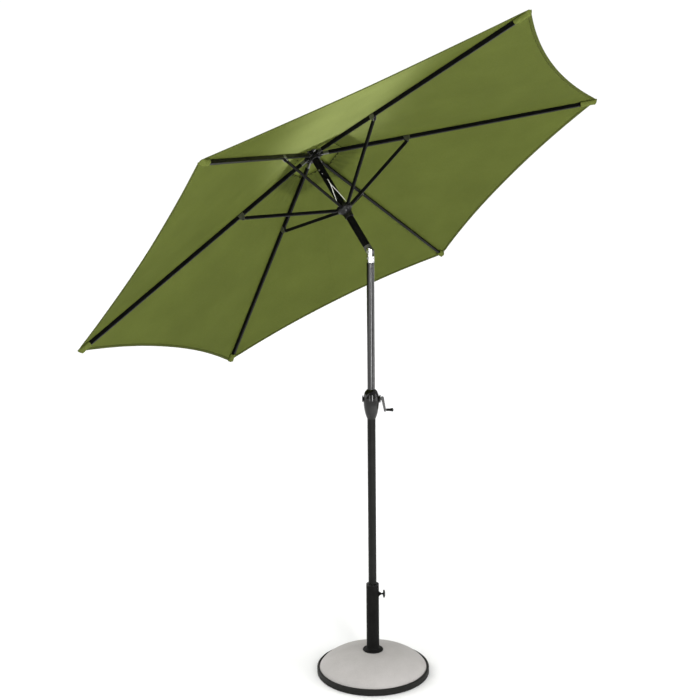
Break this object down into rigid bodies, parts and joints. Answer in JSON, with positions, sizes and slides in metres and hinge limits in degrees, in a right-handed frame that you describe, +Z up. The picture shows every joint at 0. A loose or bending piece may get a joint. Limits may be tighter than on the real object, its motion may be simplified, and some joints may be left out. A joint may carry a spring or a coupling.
{
  "type": "tilting patio umbrella with base",
  "caption": "Patio umbrella with a vented hexagonal green canopy that tilts and cranks down, on a black pole in a domed concrete base.",
  "frame": {"origin": "on the floor under the middle of the base", "axes": "+Z up along the lower pole, +X towards the crank handle and the lock knob, +Y away from the viewer of the picture"},
  "size_m": [2.3556, 2.4616, 2.9448],
  "materials": {
    "concrete": "matte",
    "rim": "satin",
    "rubber": "matte",
    "painted_steel": "satin",
    "zinc": "satin",
    "grey_metal": "satin",
    "chrome": "polished",
    "black_plastic": "satin",
    "gloss_black": "gloss",
    "canopy_fabric": "matte",
    "cord": "matte"
  },
  "bodies": {
    "stand": {"base_weight": "concrete", "base_rim": "rim", "base_feet": "rubber", "base_tube": "painted_steel", "base_anchor_bolt": "zinc", "tube_bush": "black_plastic", "lower_pole": "painted_steel", "mid_pole": "painted_steel", "housing_front": "gloss_black", "housing_back": "gloss_black", "housing_screws": "zinc", "crank_bearings": "black_plastic", "knuckle_lower": "chrome", "tilt_pin": "zinc", "lift_cord_lower": "cord"},
    "lock_pad": {"lock_pad": "zinc"},
    "lock_knob": {"lock_knob": "black_plastic"},
    "crank": {"crank_spool": "zinc", "crank_arm": "grey_metal"},
    "crank_grip": {"crank_grip": "black_plastic"},
    "tilt_button": {"tilt_button": "zinc"},
    "upper_pole": {"upper_pole": "painted_steel", "knuckle_upper": "grey_metal", "crown_hub": "black_plastic", "crown_cap": "black_plastic", "pulley_pin": "zinc", "lift_cord_upper": "cord"},
    "pulley": {"pulley": "black_plastic"},
    "runner": {"runner_hub": "black_plastic", "runner_cord": "cord"},
    "rib_a": {"rib_a": "painted_steel", "rib_fittings_a": "grey_metal", "canopy_panel_a": "canopy_fabric", "vent_panel_a": "canopy_fabric"},
    "stretcher_a": {"stretcher_a": "painted_steel"},
    "rib_b": {"rib_b": "painted_steel", "rib_fittings_b": "grey_metal", "canopy_panel_b": "canopy_fabric", "vent_panel_b": "canopy_fabric"},
    "stretcher_b": {"stretcher_b": "painted_steel"},
    "rib_c": {"rib_c": "painted_steel", "rib_fittings_c": "grey_metal", "canopy_panel_c": "canopy_fabric", "vent_panel_c": "canopy_fabric"},
    "stretcher_c": {"stretcher_c": "painted_steel"},
    "rib_d": {"rib_d": "painted_steel", "rib_fittings_d": "grey_metal", "canopy_panel_d": "canopy_fabric", "vent_panel_d": "canopy_fabric"},
    "stretcher_d": {"stretcher_d": "painted_steel"},
    "rib_e": {"rib_e": "painted_steel", "rib_fittings_e": "grey_metal", "canopy_panel_e": "canopy_fabric", "vent_panel_e": "canopy_fabric"},
    "stretcher_e": {"stretcher_e": "painted_steel"},
    "rib_f": {"rib_f": "painted_steel", "rib_fittings_f": "grey_metal", "canopy_panel_f": "canopy_fabric", "vent_panel_f": "canopy_fabric"},
    "stretcher_f": {"stretcher_f": "painted_steel"}
  },
  "joints": [
    {"name": "lock_slide", "type": "slide", "parent": "stand", "child": "lock_pad", "axis": [1, 0, 0], "range_m": [0, 0.004]},
    {"name": "lock_turn", "type": "hinge", "parent": "lock_pad", "child": "lock_knob", "pos_m": [0.035, 0, 0.388], "axis": [1, 0, 0], "range_deg": [0, 1150]},
    {"name": "crank_turn", "type": "hinge", "parent": "stand", "child": "crank", "pos_m": [0, 0, 1.329], "axis": [1, 0, 0], "range_deg": [0, 955.43]},
    {"name": "grip_spin", "type": "hinge", "parent": "crank", "child": "crank_grip", "pos_m": [0.085, 0, 1.277], "axis": [1, 0, 0], "continuous": true},
    {"name": "tilt_button_press", "type": "slide", "parent": "stand", "child": "tilt_button", "axis": [0.5948, 0.8039, 0], "range_m": [0, 0.0025], "stiffness_N_per_m": 400, "springref_m": -0.002},
    {"name": "tilt", "type": "hinge", "parent": "stand", "child": "upper_pole", "pos_m": [0, 0, 2.0045], "axis": [-0.5948, -0.8039, 0], "range_deg": [-36.9, 0]},
    {"name": "pulley_turn", "type": "hinge", "parent": "upper_pole", "child": "pulley", "pos_m": [-0.22086, 0.16343, 2.37044], "axis": [-0.5948, -0.8039, 0], "range_deg": [0, 934.67]},
    {"name": "runner_slide", "type": "slide", "parent": "upper_pole", "child": "runner", "axis": [0.4827, -0.3571, -0.7997], "range_m": [0, 0.15], "deforming": ["runner_cord"]},
    {"name": "rib_a_fold", "type": "hinge", "parent": "upper_pole", "child": "rib_a", "pos_m": [-0.29291, 0.17977, 2.41594], "axis": [0.0797, -0.8914, 0.4462], "range_deg": [0, 12.54], "deforming": ["canopy_panel_a", "vent_panel_a"]},
    {"name": "stretcher_a_fold", "type": "hinge", "parent": "runner", "child": "stretcher_a", "pos_m": [-0.14568, 0.07821, 2.18677], "axis": [-0.0797, 0.8914, -0.4462], "range_deg": [0, 10.37]},
    {"name": "rib_b_fold", "type": "hinge", "parent": "upper_pole", "child": "rib_b", "pos_m": [-0.27823, 0.21623, 2.40852], "axis": [-0.7155, -0.6874, -0.1248], "range_deg": [0, 12.54], "deforming": ["canopy_panel_b", "vent_panel_b"]},
    {"name": "stretcher_b_fold", "type": "hinge", "parent": "runner", "child": "stretcher_b", "pos_m": [-0.13393, 0.10738, 2.18083], "axis": [0.7155, 0.6874, 0.1248], "range_deg": [0, 10.37]},
    {"name": "rib_c_fold", "type": "hinge", "parent": "upper_pole", "child": "rib_c", "pos_m": [-0.24334, 0.22739, 2.42459], "axis": [-0.7952, 0.204, -0.571], "range_deg": [0, 12.54], "deforming": ["canopy_panel_c", "vent_panel_c"]},
    {"name": "stretcher_c_fold", "type": "hinge", "parent": "runner", "child": "stretcher_c", "pos_m": [-0.10602, 0.11631, 2.19369], "axis": [0.7952, -0.204, 0.571], "range_deg": [0, 10.37]},
    {"name": "rib_d_fold", "type": "hinge", "parent": "upper_pole", "child": "rib_d", "pos_m": [-0.22314, 0.20209, 2.44808], "axis": [-0.0797, 0.8914, -0.4462], "range_deg": [0, 12.54], "deforming": ["canopy_panel_d", "vent_panel_d"]},
    {"name": "stretcher_d_fold", "type": "hinge", "parent": "runner", "child": "stretcher_d", "pos_m": [-0.08986, 0.09607, 2.21248], "axis": [0.0797, -0.8914, 0.4462], "range_deg": [0, 10.37]},
    {"name": "rib_e_fold", "type": "hinge", "parent": "upper_pole", "child": "rib_e", "pos_m": [-0.23782, 0.16563, 2.4555], "axis": [0.7155, 0.6874, 0.1248], "range_deg": [0, 12.54], "deforming": ["canopy_panel_e", "vent_panel_e"]},
    {"name": "stretcher_e_fold", "type": "hinge", "parent": "runner", "child": "stretcher_e", "pos_m": [-0.1016, 0.06691, 2.21842], "axis": [-0.7155, -0.6874, -0.1248], "range_deg": [0, 10.37]},
    {"name": "rib_f_fold", "type": "hinge", "parent": "upper_pole", "child": "rib_f", "pos_m": [-0.27271, 0.15447, 2.43943], "axis": [0.7952, -0.204, 0.571], "range_deg": [0, 12.54], "deforming": ["canopy_panel_f", "vent_panel_f"]},
    {"name": "stretcher_f_fold", "type": "hinge", "parent": "runner", "child": "stretcher_f", "pos_m": [-0.12951, 0.05797, 2.20556], "axis": [-0.7952, 0.204, -0.571], "range_deg": [0, 10.37]}
  ],
  "couplings": [
    {"joint": "lock_slide", "follows": "lock_turn", "m_per_rad": 0.00019894},
    {"joint": "crank_turn", "follows": "runner_slide", "rad_per_m": 111.11},
    {"joint": "pulley_turn", "follows": "runner_slide", "rad_per_m": 108.7},
    {"joint": "rib_a_fold", "follows": "runner_slide", "rad_per_m": 1.4537},
    {"joint": "stretcher_a_fold", "follows": "runner_slide", "rad_per_m": 1.2008},
    {"joint": "rib_b_fold", "follows": "runner_slide", "rad_per_m": 1.4537},
    {"joint": "stretcher_b_fold", "follows": "runner_slide", "rad_per_m": 1.2008},
    {"joint": "rib_c_fold", "follows": "runner_slide", "rad_per_m": 1.4537},
    {"joint": "stretcher_c_fold", "follows": "runner_slide", "rad_per_m": 1.2008},
    {"joint": "rib_d_fold", "follows": "runner_slide", "rad_per_m": 1.4537},
    {"joint": "stretcher_d_fold", "follows": "runner_slide", "rad_per_m": 1.2008},
    {"joint": "rib_e_fold", "follows": "runner_slide", "rad_per_m": 1.4537},
    {"joint": "stretcher_e_fold", "follows": "runner_slide", "rad_per_m": 1.2008},
    {"joint": "rib_f_fold", "follows": "runner_slide", "rad_per_m": 1.4537},
    {"joint": "stretcher_f_fold", "follows": "runner_slide", "rad_per_m": 1.2008}
  ]
}
